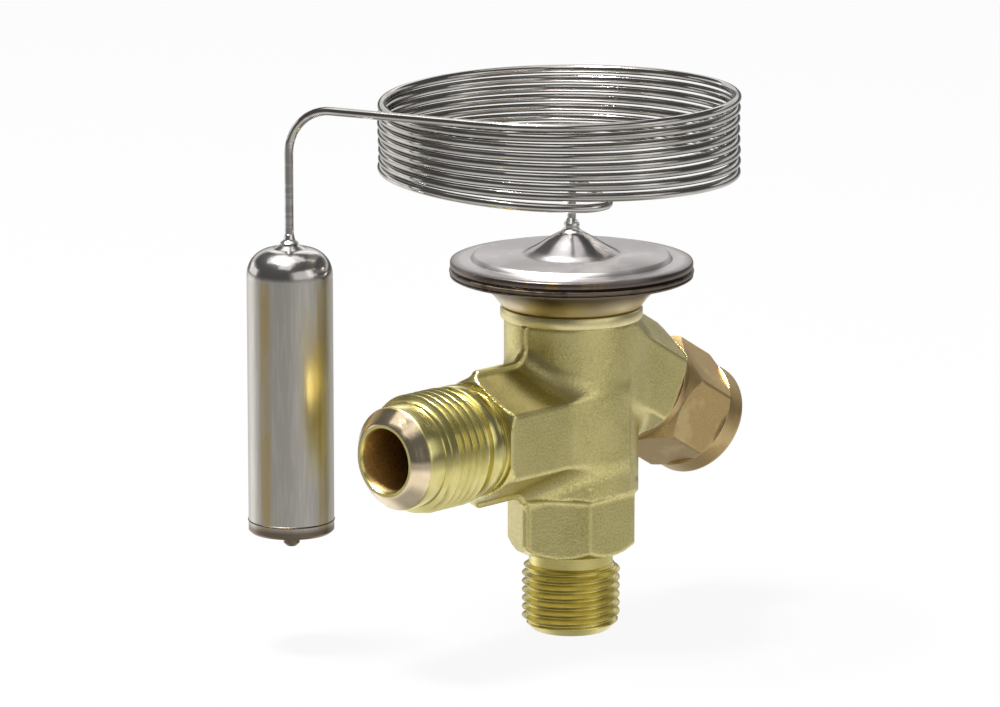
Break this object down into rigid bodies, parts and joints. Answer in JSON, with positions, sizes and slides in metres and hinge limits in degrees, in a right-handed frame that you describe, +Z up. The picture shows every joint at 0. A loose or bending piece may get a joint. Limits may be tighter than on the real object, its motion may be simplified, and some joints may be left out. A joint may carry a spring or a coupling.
{
  "type": "refrigerant expansion valve",
  "caption": "Angle expansion valve for a refrigeration circuit: flare inlet and outlet, diaphragm element with capillary coil and sensing bulb, side superheat spindle under a seal cap.",
  "frame": {"origin": "centre of the inlet's end face", "axes": "+Z up the valve's axis from the inlet to the diaphragm element, -X along the outlet, the setting spindle towards +X and 30 degrees below the horizontal"},
  "size_m": [0.0806, 0.0593, 0.088],
  "materials": {
    "forged_brass": "sandy forged skin, machined at the threads",
    "cap_brass": "turned and milled, tarnished",
    "machined_brass": "bright turned",
    "element_steel": "pressed and welded, with a heat tint at the rim",
    "inner_steel": "ground",
    "tube_steel": "bright drawn",
    "bulb_steel": "satin, with a straw heat tint",
    "spring_steel": "drawn wire",
    "screen_steel": "perforated sheet",
    "seal_rubber": "matt",
    "copper_gasket": "annealed copper"
  },
  "bodies": {
    "housing": {"valve_body": "forged_brass", "element_lower_cover": "element_steel", "element_upper_cover": "element_steel", "diaphragm": "inner_steel", "capillary_tube": "tube_steel", "bulb_shell": "bulb_steel", "bulb_base": "bulb_steel", "orifice_body": "machined_brass", "orifice_o_ring": "seal_rubber", "spring_holder": "machined_brass", "cone_spring": "spring_steel", "filter_screen": "screen_steel", "filter_ring": "machined_brass", "superheat_spring": "spring_steel", "spindle_packing": "seal_rubber", "packing_washer": "machined_brass", "gland_nut": "machined_brass"},
    "valve_stem": {"diaphragm_pad": "inner_steel", "push_rod": "inner_steel", "valve_cone": "inner_steel"},
    "seat": {"spring_seat": "machined_brass"},
    "fork": {"thrust_fork": "machined_brass"},
    "spindle": {"setting_spindle": "machined_brass"},
    "gasket": {"cap_gasket": "copper_gasket"},
    "cap": {"seal_cap": "cap_brass"}
  },
  "joints": [
    {"name": "valve_lift", "type": "slide", "parent": "housing", "child": "valve_stem", "axis": [0, 0, -1], "range_m": [0, 0.0008], "stiffness_N_per_m": 2000, "springref_m": -0.001, "deforming": ["superheat_spring", "cone_spring"]},
    {"name": "spindle_turn", "type": "hinge", "parent": "fork", "child": "spindle", "pos_m": [0, 0, 0.047], "axis": [-0.866, 0, 0.5], "range_deg": [-724, 724]},
    {"name": "fork_feed", "type": "slide", "parent": "housing", "child": "fork", "axis": [-0.866, 0, 0.5], "range_m": [-0.0015, 0.0015]},
    {"name": "seat_lift", "type": "slide", "parent": "housing", "child": "seat", "axis": [0, 0, 1], "range_m": [-0.00076, 0.00076], "deforming": ["superheat_spring"]},
    {"name": "cap_feed", "type": "slide", "parent": "housing", "child": "gasket", "axis": [0.866, 0, -0.5], "range_m": [0, 0.006]},
    {"name": "cap_turn", "type": "hinge", "parent": "gasket", "child": "cap", "pos_m": [0, 0, 0.047], "axis": [0.866, 0, -0.5], "range_deg": [0, 2165]}
  ],
  "couplings": [
    {"joint": "spindle_turn", "follows": "fork_feed", "rad_per_m": 8377.6},
    {"joint": "seat_lift", "follows": "fork_feed", "ratio": 0.5},
    {"joint": "cap_turn", "follows": "cap_feed", "rad_per_m": 6283.2}
  ]
}
